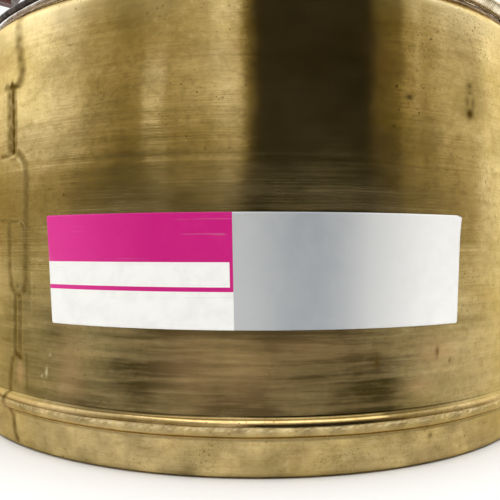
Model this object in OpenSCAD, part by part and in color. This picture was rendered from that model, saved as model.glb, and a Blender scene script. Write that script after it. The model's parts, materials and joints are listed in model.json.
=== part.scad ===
// Brass kerosene pressure stove: a round pressed tank with a hand pump, a screw
// filler, a quick preheater, a roarer burner fed through four vaporiser tubes,
// a lift-off pot stand and a wire bail that folds down round the shoulder.
// Units are millimetres. +Z is up, the origin is the middle of the foot ring,
// and the side with the sticker faces -Y. Directions round the tank are given
// as an angle from the front (-Y), positive towards +X.

/* [Tank] */
// Outside radius of the tank wall
tank_r = 90; // [88:0.5:92]
// Thickness of the tank sheet
sheet_t = 1; // [0.8:0.1:1.2]
// Height where the straight wall ends and the shoulder starts
wall_h = 103.9; // [103:0.1:107]
// Radius of the shoulder
shoulder_r = 4; // [3.8:0.1:4.2]
// Height of the middle of the bead above the foot
bead_z = 10.7; // [10:0.1:11.5]
// How far the bead stands out of the wall
bead_out = 1.6; // [1:0.1:2]

/* [Sticker] */
// Width of the sticker round the wall, in degrees
label_deg = 64.4; // [60:0.2:68]
// Height of the sticker's lower edge
label_z = 30.9; // [28:0.1:34]
// Height of the sticker
label_h = 25; // [22:0.5:28]

/* [Bail] */
// Radius of the bail's arc
bail_r = 88.5; // [88.3:0.1:88.6]
// Radius of the bail wire
bail_wire_r = 0.8; // [0.75:0.05:0.9]
// Outside radius of the wound grip
grip_r = 1.85; // [1.6:0.05:1.9]
// Direction of the left pivot
bail_th = -60; // [-62:1:-56]
// Half the length of the wound grip, in degrees
grip_half = 32; // [25:1:36]
// Rise of the folded bail from its pivots to its grip, in degrees
bail_tilt = 1.05; // [1:0.05:1.5]

/* [Pump] */
// Distance of the pump from the middle
pump_at = 58; // [56:0.5:59]
// Direction of the pump
pump_th = 120; // [115:1:125]
// Bore radius of the pump barrel
pump_bore = 10; // [9.8:0.1:10.2]

/* [Filler] */
// Distance of the filler from the middle
filler_at = 56; // [54:0.5:58]
// Direction of the filler
filler_th = -120; // [-125:1:-115]

/* [Burner] */
// Radius of the vaporiser ring
ring_r = 19; // [18.5:0.1:19.5]
// Outside radius of the vaporiser tubes
tube_r = 3.2; // [3:0.1:3.2]
// Radius of the flame plate
flame_r = 21; // [18:0.5:22]
// Direction of the control spindle
valve_th = -76; // [-80:1:-72]
// Slope of the control spindle, in degrees
valve_tilt = 10.5; // [9:0.5:11]

/* [Pot stand] */
// Outside radius of the pot ring
pot_r = 46.5; // [44:0.5:46.5]
// Height of the pot ring's top face
pot_z = 179.5; // [179:0.1:179.5]
// Distance of the legs from the middle
leg_at = 64; // [62:0.5:66]

/* [Hidden] */
$fn = 64;
top_dz = wall_h - 105; // the top fittings are drawn for a 105 mm wall and move with it
land_z = 109.5;      // annular land on the tank top that carries the fittings
hub_z = 113.5;       // raised middle of the tank top
pivot_z = 110.55;    // height of the bail's pivot
valve_z = 126.5;     // height of the control spindle at the middle
lever_z = 127.2;     // height of the preheater's cross pin
pre_at = 52;
pre_th = -32;
leg_th = [60, 180, -60];
brass = [0.72, 0.56, 0.28];
dark_brass = [0.60, 0.46, 0.22];
steel = [0.55, 0.55, 0.56];
black_steel = [0.22, 0.21, 0.20];
knob_brown = [0.24, 0.09, 0.06];
leather_c = [0.45, 0.28, 0.15];

// place children at radius r in direction th; there, local -Y points outwards
module at(r, th, z = 0) {
    translate([r * sin(th), -r * cos(th), z]) rotate([0, 0, th]) children();
}

// points of an arc in the profile plane
function arc(cx, cy, r, a0, a1, n) = [for (i = [0:n]) let (a = a0 + (a1 - a0) * i / n) [cx + r * cos(a), cy + r * sin(a)]];

// hollow turned piece from z0 to z1
module tube(ro, ri, z0, z1) {
    rotate_extrude() translate([ri, z0]) square([ro - ri, z1 - z0]);
}

// straight knurl: a ring of shallow ridges
module knurl(r, depth, n, z0, z1) {
    translate([0, 0, z0]) linear_extrude(z1 - z0)
        polygon([for (i = [0:2 * n - 1]) let (a = 180 * i / n, q = i % 2 == 0 ? r : r - depth) [q * cos(a), q * sin(a)]]);
}

// hexagon across the corners 2*r
module hex(r, z0, z1) {
    translate([0, 0, z0]) cylinder(r = r, h = z1 - z0, $fn = 6);
}

// coil of round wire from z0 to z1
module coil(r, wr, z0, z1, turns) {
    n = turns * 14;
    m = 6;
    function ctr(i) = [r * cos(360 * turns * i / n), r * sin(360 * turns * i / n), z0 + wr + (z1 - z0 - 2 * wr) * i / n];
    pts = [for (i = [0:n]) let (a = 360 * turns * i / n, c = ctr(i))
        for (j = [0:m - 1]) let (b = 360 * j / m) [c[0] + wr * cos(b) * cos(a), c[1] + wr * cos(b) * sin(a), c[2] + wr * sin(b)]];
    faces = concat(
        [[for (j = [0:m - 1]) j]],
        [for (i = [0:n - 1]) for (j = [0:m - 1]) let (k = (j + 1) % m) [i * m + j, (i + 1) * m + j, (i + 1) * m + k]],
        [for (i = [0:n - 1]) for (j = [0:m - 1]) let (k = (j + 1) % m) [i * m + j, (i + 1) * m + k, i * m + k]],
        [[for (j = [m - 1:-1:0]) n * m + j]]);
    polyhedron(pts, faces);
}

// ---------------------------------------------------------------- tank

module tank_shell() {
    r = tank_r;
    t = sheet_t;
    color(brass) rotate_extrude($fn = 128) polygon(concat(
        [[r - 2.1, 0], [r - 0.9, 0], [r - 0.3, 0.3], [r, 1.0], [r, bead_z - 2.1]],
        [for (a = [-75:25:75]) [r + bead_out * cos(a), bead_z + 2.0 * sin(a)]],
        [[r, bead_z + 2.1], [r, wall_h]],
        arc(r - shoulder_r, wall_h, shoulder_r, 9, 75, 7),
        arc(r - shoulder_r, wall_h, shoulder_r - t, 75, 9, 7),
        [[r - t, wall_h], [r - t, 2.9], [r - 2.0, 2.4], [r - 2.5, 1.4]]));
}

module tank_top() {
    b = tank_r - 4.4;
    color(brass) difference() {
        rotate_extrude($fn = 128) polygon(concat(
            [[9.05, hub_z], [23, hub_z], [25, hub_z - 0.4], [29.5, land_z + 0.6], [31.5, land_z], [78, land_z],
                [79.5, land_z - 0.4], [81.5, land_z - 1.6], [83, land_z - 1.6]],
            arc(b, land_z, 1.5, 205, -110, 14),
            [[83.2, land_z - 2.6], [81.2, land_z - 2.6], [79.2, land_z - 1.4], [78, land_z - 1],
                [31.2, land_z - 1], [29, land_z - 0.4], [24.6, hub_z - 1.3], [23, hub_z - 1], [9.05, hub_z - 1]]));
        at(pump_at, pump_th) cylinder(r = 11.6, h = 200);
        at(filler_at, filler_th) cylinder(r = 10.05, h = 200);
        at(pre_at, pre_th) cylinder(r = 5.05, h = 200);
    }
}

module tank_bottom() {
    r = tank_r - sheet_t - 0.03;
    color(dark_brass) rotate_extrude($fn = 128) polygon([
        [r, 5], [r, 12.6], [r - 4, 13.6], [60, 16], [30, 17.5], [0, 18],
        [0, 17], [30, 16.5], [60, 15], [r - 4.2, 12.6], [r - 1, 11.6], [r - 1, 5]]);
}

module side_label() {
    color([0.86, 0.2, 0.5]) rotate([0, 0, -90 - label_deg / 2])
        rotate_extrude(angle = label_deg, $fn = 128) translate([tank_r + 0.02, label_z]) square([0.2, label_h]);
}

// ---------------------------------------------------------------- bail

module lug() {
    // an ear on the wall: a curved pad, and a flat plate that stands up past the rim
    difference() {
        union() {
            translate([-7, -tank_r - 1.7, 84]) cube([14, 5, 15]);
            translate([-4.2, -tank_r - 1.7, 94]) cube([8.4, 1.5, pivot_z - 94]);
            translate([0, -tank_r - 0.2, pivot_z]) rotate([90, 0, 0]) cylinder(r = 4.2, h = 1.5);
        }
        cylinder(r = tank_r + 0.02, h = 200, $fn = 128);
        translate([0, -80, pivot_z]) rotate([90, 0, 0]) cylinder(r = bail_wire_r + 0.06, h = 20);
    }
}

module bail_lugs() {
    color(dark_brass) for (a = [0, 180]) rotate([0, 0, bail_th + a]) lug();
}

module bail_end() {
    // the elbow, the end that passes through the ear, and its peened head outside
    translate([0, -bail_r, 0]) sphere(r = bail_wire_r + 0.02);
    translate([0, -bail_r, 0]) rotate([90, 0, 0]) cylinder(r = bail_wire_r, h = 4.1);
    translate([0, -tank_r - 1.95, 0]) rotate([90, 0, 0]) cylinder(r = 1.9, h = 0.8);
}

// the bail's own frame: its middle is at the pivots' height and its arc leans up a little
module bail_frame() {
    translate([0, 0, pivot_z]) rotate([0, 0, bail_th + 90]) rotate([0, 0, -90]) rotate([0, -bail_tilt, 0]) children();
}

module bail_wire() {
    color(black_steel) bail_frame() {
        bail_end();
        rotate([0, 0, 180]) bail_end();
        rotate([0, 0, -90]) rotate_extrude(angle = 180, $fn = 128)
            translate([bail_r, 0]) circle(r = bail_wire_r - 0.02, $fn = 32);
    }
}

module bail_grip() {
    color(steel) bail_frame() rotate([0, 0, -grip_half]) rotate_extrude(angle = 2 * grip_half, $fn = 128)
        translate([bail_r, 0]) difference() {
            circle(r = grip_r, $fn = 32);
            circle(r = bail_wire_r + 0.04, $fn = 32);
        }
}

// ---------------------------------------------------------------- filler

module filler_neck() {
    color(brass) at(filler_at, filler_th) rotate_extrude() polygon([
        [8.5, 102], [10, 102], [10, land_z], [13.5, land_z], [13.5, land_z + 1.6], [13.1, land_z + 2], [12, land_z + 2],
        [12, 120.6], [11.6, 121], [8.5, 121]]);
}

module filler_gasket() {
    color([0.12, 0.12, 0.12]) at(filler_at, filler_th) tube(11.9, 8.4, 121.02, 122.48);
}

module filler_cap() {
    color(brass) at(filler_at, filler_th) difference() {
        union() {
            knurl(16, 0.7, 40, 114.6, 124);
            rotate_extrude() polygon([[0, 113.6], [15.4, 113.6], [15.4, 125], [13.8, 127], [9, 128], [0, 128]]);
        }
        translate([0, 0, 110]) cylinder(r = 12.1, h = 12.5);
        cylinder(r = 2.55, h = 200);
    }
}

module vent_screw() {
    color(brass) at(filler_at, filler_th) {
        rotate_extrude() polygon([[0, 117.5], [1.6, 117.5], [2.45, 118.8], [2.45, 128.1], [4, 128.1], [4, 130], [0, 130]]);
        knurl(6.5, 0.5, 20, 130, 134.5);
        rotate_extrude() polygon([[0, 134.5], [5.6, 134.5], [4.6, 135.4], [0, 135.8]]);
    }
}

// ---------------------------------------------------------------- pump

module pump_collar() {
    color(brass) at(pump_at, pump_th) rotate_extrude() polygon([
        [11.05, 100], [11.5, 100], [11.5, land_z], [17, land_z], [17, land_z + 1.8], [16.4, land_z + 2.4], [13, land_z + 2.4],
        [13, 117.6], [12.6, 118], [11.05, 118]]);
}

module pump_barrel() {
    color(brass) at(pump_at, pump_th) tube(11.0, pump_bore, 22, 118);
}

module pump_cap() {
    color(brass) at(pump_at, pump_th) difference() {
        union() {
            knurl(16, 0.6, 44, 113.4, 119.4);
            rotate_extrude() polygon([[0, 112.4], [15.5, 112.4], [15.5, 120.4], [14, 121.6], [8, 122.4], [6.5, 124.5], [0, 124.5]]);
        }
        translate([0, 0, 108]) cylinder(r = 13.1, h = 10.05);
        cylinder(r = 2.58, h = 200);
    }
}

module pump_bumper_spring() {
    color(steel) at(pump_at, pump_th) coil(4.6, 0.5, 106, 118, 5);
}

module pump_rod() {
    color(steel) at(pump_at, pump_th) rotate_extrude() polygon([
        [0, 26.6], [1.8, 26.6], [1.8, 36], [2.5, 36], [2.5, 131], [1.6, 131], [1.6, 143.5], [0, 143.5]]);
}

module pump_knob() {
    color(knob_brown) at(pump_at, pump_th) rotate_extrude() polygon(concat(
        [[1.62, 138.6], [1.62, 131.02], [2.55, 131.02], [2.55, 124.8], [6.2, 124.8], [6.6, 125.3], [5.2, 128], [5.4, 130], [7.4, 131.7]],
        arc(6.6, 135.2, 3.6, -70, 70, 6), [[5.6, 139.4], [3.8, 139.9], [3.8, 138.6]]));
}

module pump_knob_nut() {
    color(brass) at(pump_at, pump_th) difference() {
        union() {
            hex(3.6, 138.62, 141.4);
            rotate_extrude() polygon([[0, 141.4], [2.9, 141.4], [2.6, 143], [1.4, 144.4], [0, 144.8]]);
        }
        cylinder(r = 1.62, h = 143.6);
    }
}

module piston_plate() {
    color(brass) at(pump_at, pump_th) tube(9.2, 1.82, 34.3, 36);
}

module pump_leather() {
    color(leather_c) at(pump_at, pump_th) rotate_extrude() polygon([
        [1.82, 32.5], [1.82, 34.3], [9.2, 34.3], [9.92, 33.6], [9.92, 27.4], [9.0, 27.0], [8.6, 32.5]]);
}

module piston_nut() {
    color(brass) at(pump_at, pump_th) difference() {
        union() {
            hex(4, 28.4, 31);
            translate([0, 0, 31]) cylinder(r = 7.6, h = 1.48);
        }
        cylinder(r = 1.82, h = 60);
    }
}

module check_valve_body() {
    color(brass) at(pump_at, pump_th) difference() {
        union() {
            hex(9, 17.9, 21.6);
            translate([0, 0, 21.6]) cylinder(r = pump_bore - 0.03, h = 4.4);
        }
        translate([0, 0, 19]) cylinder(r = 4, h = 5.4);
        translate([0, 0, 10]) cylinder(r = 1.6, h = 20);
        translate([0, 0, 21.3]) difference() {
            cylinder(r = 20, h = 0.72);
            translate([0, 0, -1]) cylinder(r = 8, h = 3);
        }
    }
}

module check_valve_pip() {
    color([0.1, 0.1, 0.1]) at(pump_at, pump_th) translate([0, 0, 22.6]) cylinder(r = 3.7, h = 1.75);
}

module check_valve_spring() {
    color(steel) at(pump_at, pump_th) coil(2.7, 0.25, 19.05, 22.55, 4);
}

// ---------------------------------------------------------------- burner

module center_boss() {
    color(brass) rotate_extrude() polygon([
        [6.05, 106], [9, 106], [9, hub_z], [14, hub_z], [14, hub_z + 2.4], [13.4, hub_z + 3], [6.05, hub_z + 3]]);
}

module pickup_tube() {
    color(brass) tube(3.98, 3, 24, 119);
}

module fuel_strainer() {
    color(steel) rotate_extrude() polygon([
        [0, 19.6], [6, 19.6], [6.2, 20], [6.2, 36], [4.02, 38], [4.02, 36.6], [5.6, 35.4], [5.6, 20.3], [0, 20.3]]);
}

module burner_gasket() {
    color([0.65, 0.35, 0.22]) tube(12, 6.1, hub_z + 3, hub_z + 3.8);
}

module spirit_cup() {
    z = hub_z + 3.8;
    color(brass) rotate_extrude($fn = 96) polygon(concat(
        [[6.1, z], [19, z], [25, z + 1.2], [29.2, z + 3.6], [30.8, z + 7]],
        arc(31.2, z + 7.6, 0.9, -90, 150, 6),
        [[30.1, z + 7.2], [28.5, z + 4.1], [24.7, z + 2.0], [18.9, z + 0.8], [6.1, z + 0.8]]));
}

// the control spindle's frame: +Z runs out along the spindle from the middle
module spindle_frame() {
    rotate([0, 0, valve_th]) translate([0, 0, valve_z]) rotate([90 - valve_tilt, 0, 0]) children();
}

module burner_base() {
    color(dark_brass) difference() {
        union() {
            translate([0, 0, 107]) cylinder(r = 6.0, h = 12);
            rotate([0, 0, valve_th]) hex(11.6, 118.12, 122.4);
            rotate_extrude() polygon([[0, 122.4], [10.6, 122.4], [10.6, 130.6], [9.6, 131.6], [0, 131.6]]);
            spindle_frame() cylinder(r = 5.4, h = 18);
            rotate([0, 0, valve_th]) rotate([0, 90, 0]) translate([-valve_z, 0, -12.4]) cylinder(r = 4.6, h = 24.8);
        }
        translate([0, 0, 100]) cylinder(r = 4.0, h = 19.02);
        translate([0, 0, 110]) cylinder(r = 1.6, h = 16.5);
        spindle_frame() cylinder(r = 2.1, h = 30);
        spindle_frame() translate([0, 0, 9]) cylinder(r = 3.6, h = 10);
        rotate([0, 0, valve_th]) rotate([0, 90, 0]) translate([-valve_z, 0, -20]) cylinder(r = 1.6, h = 40);
    }
}

module riser(s) {
    x0 = 12.42;
    b = ring_r - x0;
    translate([s * (x0), 0, valve_z]) {
        // short stub, quarter bend, then straight up into the ring
        rotate([0, s * 90, 0]) translate([0, 0, -0.0]) cylinder(r = tube_r, h = 0.5);
        translate([s * 0.5, 0, b]) rotate([90, 0, 0]) rotate([0, 0, s > 0 ? -90 : 180])
            rotate_extrude(angle = 90) translate([b, 0]) circle(r = tube_r, $fn = 32);
        translate([s * (0.5 + b), 0, b]) cylinder(r = tube_r, h = 149.4 - valve_z - b);
    }
}

module riser_tubes() {
    color(steel) rotate([0, 0, valve_th]) {
        riser(1);
        riser(-1);
    }
}

module vaporiser_ring() {
    color(dark_brass) rotate([0, 0, valve_th]) difference() {
        union() {
            translate([0, 0, 152]) rotate_extrude($fn = 96) translate([ring_r, 0]) circle(r = 4, $fn = 32);
            for (a = [0:90:270]) rotate([0, 0, a]) translate([ring_r + (a % 180 == 0 ? 0.5 : 0), 0, 147]) cylinder(r = 4.1, h = 5);
        }
        for (a = [0:90:270]) rotate([0, 0, a]) translate([ring_r + (a % 180 == 0 ? 0.5 : 0), 0, 140]) cylinder(r = tube_r + 0.02, h = 9.4);
    }
}

module returner() {
    // down from the ring, quarter bend, then in to the jet block
    zc = 138.2;
    b = 7;
    translate([0, -ring_r, zc + b]) cylinder(r = tube_r, h = 149.4 - zc - b);
    translate([0, -ring_r + b, zc + b]) rotate([0, 0, 90]) rotate([90, 0, 0]) rotate([0, 0, 180])
        rotate_extrude(angle = 90) translate([b, 0]) circle(r = tube_r, $fn = 32);
    translate([0, -ring_r + b, zc]) rotate([-90, 0, 0]) cylinder(r = tube_r, h = ring_r - b - 7.8);
}

module return_tubes() {
    color(steel) rotate([0, 0, valve_th]) {
        returner();
        rotate([0, 0, 180]) returner();
    }
}

module jet_block() {
    color(dark_brass) rotate([0, 0, valve_th]) difference() {
        union() {
            rotate_extrude() polygon([[0, 133.4], [5.5, 133.4], [7.78, 135], [7.78, 141.4], [6.4, 142.6], [0, 142.6]]);
        }
        translate([0, 0, 136]) cylinder(r = 2.0, h = 8);
        translate([0, 10, 138.2]) rotate([90, 0, 0]) cylinder(r = 1.8, h = 20);
    }
}

module jet_nipple() {
    color(brass) difference() {
        union() {
            translate([0, 0, 138.6]) cylinder(r = 1.96, h = 4.5);
            hex(4, 142.62, 145.6);
            rotate_extrude() polygon([[0, 145.6], [2.9, 145.6], [1.5, 148], [0, 148]]);
        }
        translate([0, 0, 130]) cylinder(r = 1.0, h = 16);
        cylinder(r = 0.25, h = 200, $fn = 16);
    }
}

module burner_bell() {
    // flared bell with a straight band of air holes under its rim
    color(dark_brass) difference() {
        rotate_extrude($fn = 96) polygon([
            [10, 149.6], [11, 149.6], [11.3, 153], [12.4, 155.6], [15, 156.2], [20.5, 156.3], [24, 157.4], [26.6, 159.2], [27.6, 161],
            [27.6, 164.6], [28.6, 166], [27.6, 166], [26.6, 164.8], [26.6, 161.2], [25.8, 159.9], [23.4, 158.4], [20.3, 157.4], [15, 157.2], [11.8, 156.4], [10.4, 153.4]]);
        for (a = [15:30:345]) rotate([0, 0, a]) translate([20, 0, 162.9]) rotate([0, 90, 0]) cylinder(r = 1, h = 20);
    }
}

module flame_plate() {
    color([0.35, 0.30, 0.27]) {
        rotate_extrude($fn = 96) polygon([
            [0, 166.0], [5, 166.0], [8, 166.6], [flame_r - 3, 168], [flame_r, 167.2], [flame_r + 0.3, 167.9], [flame_r - 2.8, 169.2], [6, 168.2], [4.5, 171], [0, 171.4]]);
        difference() {
            for (a = [30:120:270]) rotate([0, 0, a]) translate([16.2, 0, 157.35]) {
                cylinder(r = 1.3, h = 10.4);
            }
            cylinder(r = 3, h = 10);
        }
    }
}

module valve_spindle() {
    color(steel) spindle_frame() rotate_extrude() polygon([
        [0, 1.2], [1.2, 3], [2.02, 5], [2.02, 79], [1.5, 79], [1.5, 89.4], [0, 89.4]]);
}

module spindle_packing() {
    color([0.15, 0.15, 0.15]) spindle_frame() tube(3.55, 2.06, 9.1, 14.9);
}

module packing_nut() {
    color(brass) spindle_frame() difference() {
        union() {
            tube(3.5, 0, 15, 18.1);
            hex(6.2, 18.1, 23.5);
            rotate_extrude() polygon([[0, 23.5], [5.2, 23.5], [4.2, 25.5], [0, 25.5]]);
        }
        cylinder(r = 2.08, h = 40);
    }
}

module handwheel() {
    // scalloped round knob with a raised hub
    color(knob_brown) spindle_frame() difference() {
        union() {
            translate([0, 0, 80.8]) linear_extrude(5.4)
                polygon([for (i = [0:71]) let (a = 5 * i, q = 10.7 + 0.6 * cos(9 * a)) [q * cos(a), q * sin(a)]]);
            rotate_extrude() polygon([[0, 79.1], [4.4, 79.1], [5.2, 80.8], [5.2, 86.2], [4.6, 87.4], [0, 87.4]]);
        }
        cylinder(r = 1.53, h = 100);
    }
}

module handwheel_nut() {
    color(steel) spindle_frame() difference() {
        hex(3.2, 87.42, 89.8);
        cylinder(r = 1.52, h = 100);
    }
}

// ---------------------------------------------------------------- preheater

module preheater_body() {
    color(brass) at(pre_at, pre_th) difference() {
        union() {
            translate([0, 0, 99]) cylinder(r = 5, h = 11);
            hex(9.4, land_z, land_z + 3);
            rotate_extrude() polygon([[0, land_z + 3], [6.4, land_z + 3], [6.4, 120], [0, 120]]);
            translate([0, 0, 115.2]) rotate([-90, 0, 0]) cylinder(r = 2.6, h = 8.4);
        }
        translate([0, 0, 106]) cylinder(r = 3.2, h = 40);
        translate([0, 0, 90]) cylinder(r = 1.5, h = 30);
        translate([0, 0, 115.2]) rotate([-90, 0, 0]) cylinder(r = 1.4, h = 20);
    }
}

module preheater_cap_nut() {
    color(brass) at(pre_at, pre_th) difference() {
        union() {
            translate([0, 0, 118.2]) cylinder(r = 3.15, h = 2);
            hex(6.4, 120.02, 123.4);
            rotate_extrude() polygon([[0, 123.4], [5.3, 123.4], [4.7, 124.2], [0, 124.2]]);
        }
        translate([0, 0, 110]) cylinder(r = 2.26, h = 20);
    }
}

module preheater_dip_tube() {
    color(brass) at(pre_at, pre_th) tube(1.48, 0.9, 24, 102.6);
}

module preheater_needle() {
    color(steel) at(pre_at, pre_th) difference() {
        rotate_extrude() polygon([
            [0, 104.4], [1.2, 106.4], [1.2, 110], [3.12, 110], [3.12, 113], [2.2, 113], [2.2, 128.8], [1.7, 129.6], [0, 129.6]]);
        translate([-10, 0, lever_z]) rotate([0, 90, 0]) cylinder(r = 1.02, h = 20);
    }
}

module preheater_spring() {
    color(steel) at(pre_at, pre_th) coil(2.68, 0.25, 113.05, 118.15, 4);
}

module preheater_lever() {
    // two round cams beside the stem, set off centre, joined by a flat arm:
    // turning the arm up lifts the stem
    color(steel) at(pre_at, pre_th) difference() {
        union() {
            for (x = [-4.1, 2.5]) translate([x, 0.6, lever_z + 0.6]) rotate([0, 90, 0]) cylinder(r = 3.5, h = 1.6);
            translate([-4.1, -6.4, lever_z - 0.6]) cube([8.2, 3, 1.8]);
            for (x = [-4.1, 2.5]) translate([x, -3.5, lever_z - 0.6]) cube([1.6, 3.5, 1.8]);
            translate([-2.5, -26, lever_z - 0.6]) cube([5, 21, 1.8]);
            translate([0, -26, lever_z - 0.6]) cylinder(r = 4.4, h = 1.8);
        }
        translate([-10, 0, lever_z]) rotate([0, 90, 0]) cylinder(r = 1.06, h = 20);
        translate([0, -26, 120]) cylinder(r = 1.8, h = 20);
    }
}

module preheater_pin() {
    color(brass) at(pre_at, pre_th) translate([0, 0, lever_z]) rotate([0, 90, 0]) {
        translate([0, 0, -5]) cylinder(r = 1.0, h = 10);
        translate([0, 0, -5]) cylinder(r = 1.7, h = 0.8);
        translate([0, 0, 4.2]) cylinder(r = 1.7, h = 0.8);
    }
}

module preheater_pipe() {
    b = 5;
    z = 115.2;
    color(brass) at(pre_at, pre_th) {
        translate([0, 8.42, z]) rotate([-90, 0, 0]) cylinder(r = 2.0, h = 1.6);
        translate([0, 10.02, z + b]) rotate([0, 0, 90]) rotate([90, 0, 0]) rotate([0, 0, -90])
            rotate_extrude(angle = 90) translate([b, 0]) circle(r = 2.0, $fn = 32);
        translate([0, 10.02 + b, z + b]) cylinder(r = 2.0, h = 134.4 - z - b);
    }
}

module preheater_flame_cup() {
    color(dark_brass) at(pre_at - 15.02, pre_th) difference() {
        union() {
            rotate_extrude() polygon([[0, 134.42], [3.4, 134.42], [5.6, 137], [5.6, 152.4], [6, 152.8], [5.6, 153.2], [5.0, 153.2],
                [5.0, 138], [3, 136.6], [1, 136.6], [0.6, 138.4], [0, 138.4]]);
        }
        cylinder(r = 0.3, h = 300, $fn = 16);
        for (a = [45:90:315]) rotate([0, 0, a]) translate([0, 0, 140.4]) rotate([0, 90, 0]) cylinder(r = 1.4, h = 10);
    }
}

// ---------------------------------------------------------------- pot stand

module leg_sockets() {
    color(brass) for (a = leg_th) at(leg_at, a) rotate_extrude() polygon([
        [0, land_z], [6.5, land_z], [6.5, land_z + 0.9], [4.7, land_z + 1.8], [4.7, 119.6], [4.3, 120], [2.6, 120], [2.6, land_z + 1.6], [0, land_z + 1.6]]);
}

module rod(p, q, r) {
    d = q - p;
    l = norm(d);
    translate(p) rotate([0, acos(d[2] / l), atan2(d[1], d[0])]) cylinder(r = r, h = l);
}

module pot_legs() {
    // each leg stands in its socket, leans in above the tank and ends under the ring
    z1 = 148;
    z2 = 168;
    color(black_steel) for (a = leg_th) rotate([0, 0, a]) {
        rod([0, -leg_at, land_z + 1.8], [0, -leg_at, z1], 2.5);
        translate([0, -leg_at, z1]) sphere(r = 2.56);
        rod([0, -leg_at, z1], [0, -(pot_r - 4), z2], 2.5);
        translate([0, -(pot_r - 4), z2]) sphere(r = 2.56);
        rod([0, -(pot_r - 4), z2], [0, -(pot_r - 4), pot_z - 2.5], 2.5);
    }
}

module pot_ring() {
    color(black_steel) difference() {
        union() {
            translate([0, 0, pot_z - 2.5]) linear_extrude(2.5) difference() {
                circle(r = pot_r, $fn = 96);
                circle(r = pot_r - 9, $fn = 96);
            }
            for (a = [0:120:240]) rotate([0, 0, a]) {
                translate([-2.5, -(pot_r - 8), pot_z - 2.5]) cube([5, 18, 2.5]);
            }
        }
        cylinder(r = 25, h = 300, $fn = 96);
    }
}

// everything that stands on the tank top moves with the height of the wall
module lift() {
    translate([0, 0, top_dz]) children();
}

tank_shell();
lift() tank_top();
tank_bottom();
side_label();
lift() bail_lugs();
lift() bail_wire();
lift() bail_grip();
lift() filler_neck();
lift() filler_gasket();
lift() filler_cap();
lift() vent_screw();
lift() pump_collar();
lift() pump_barrel();
lift() pump_cap();
lift() pump_bumper_spring();
lift() pump_rod();
lift() pump_knob();
lift() pump_knob_nut();
lift() piston_plate();
lift() pump_leather();
lift() piston_nut();
lift() check_valve_body();
lift() check_valve_pip();
lift() check_valve_spring();
lift() center_boss();
lift() pickup_tube();
lift() fuel_strainer();
lift() burner_gasket();
lift() spirit_cup();
lift() burner_base();
lift() riser_tubes();
lift() vaporiser_ring();
lift() return_tubes();
lift() jet_block();
lift() jet_nipple();
lift() burner_bell();
lift() flame_plate();
lift() valve_spindle();
lift() spindle_packing();
lift() packing_nut();
lift() handwheel();
lift() handwheel_nut();
lift() preheater_body();
lift() preheater_cap_nut();
lift() preheater_dip_tube();
lift() preheater_needle();
lift() preheater_spring();
lift() preheater_lever();
lift() preheater_pin();
lift() preheater_pipe();
lift() preheater_flame_cup();
lift() leg_sockets();
lift() pot_legs();
lift() pot_ring();
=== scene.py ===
import json
import math
import bpy
import numpy as np
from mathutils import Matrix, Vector


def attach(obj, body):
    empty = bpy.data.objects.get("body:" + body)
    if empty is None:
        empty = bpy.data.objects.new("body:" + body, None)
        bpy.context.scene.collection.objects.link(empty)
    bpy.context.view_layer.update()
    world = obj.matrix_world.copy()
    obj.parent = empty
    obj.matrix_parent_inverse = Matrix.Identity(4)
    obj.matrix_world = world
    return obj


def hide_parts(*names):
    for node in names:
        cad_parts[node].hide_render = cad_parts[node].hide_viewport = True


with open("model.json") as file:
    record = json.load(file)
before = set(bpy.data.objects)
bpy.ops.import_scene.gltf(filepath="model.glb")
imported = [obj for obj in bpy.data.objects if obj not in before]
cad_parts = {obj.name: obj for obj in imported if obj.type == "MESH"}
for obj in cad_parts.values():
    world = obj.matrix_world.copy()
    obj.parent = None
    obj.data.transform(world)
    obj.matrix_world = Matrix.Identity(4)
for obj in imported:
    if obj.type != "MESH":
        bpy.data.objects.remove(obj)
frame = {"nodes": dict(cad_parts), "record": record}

scene = bpy.context.scene
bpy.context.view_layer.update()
rng = np.random.default_rng(7)
MM = 0.001

# ------------------------------------------------------------------ camera
# level, in front of the sticker, close to the wall, turned one degree to the left
F_PX = 587.75
CAM_Y, CAM_Z = -213.9, 48.3
TURN = math.radians(0.94)
SHIFT_PX = F_PX * math.tan(TURN)
cam = bpy.data.cameras.new("camera")
cam.sensor_width = 36
cam.lens = F_PX / 500 * 36
cam.shift_x = SHIFT_PX / 500
cam.clip_start = 0.01
cam_ob = bpy.data.objects.new("camera", cam)
scene.collection.objects.link(cam_ob)
cam_ob.location = (0, CAM_Y * MM, CAM_Z * MM)
cam_ob.rotation_euler = (math.pi / 2, 0, TURN)
scene.camera = cam_ob
scene.view_settings.view_transform = "Standard"
scene.view_settings.look = "None"


def on_wall(px, py, r=90.0):
    """(direction in radians, height in mm) of the wall point that shows at this place in the frame."""
    u = (px - 250 + SHIFT_PX) / F_PX
    dx = -math.sin(TURN) + u * math.cos(TURN)
    dy = math.cos(TURN) + u * math.sin(TURN)
    a, b, c = dx * dx + dy * dy, 2 * CAM_Y * dy, CAM_Y ** 2 - r * r
    t = (-b - math.sqrt(max(b * b - 4 * a * c, 0))) / (2 * a)
    x, y = t * dx, CAM_Y + t * dy
    return math.atan2(x, -y), CAM_Z + (250 - py) / F_PX * t


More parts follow.
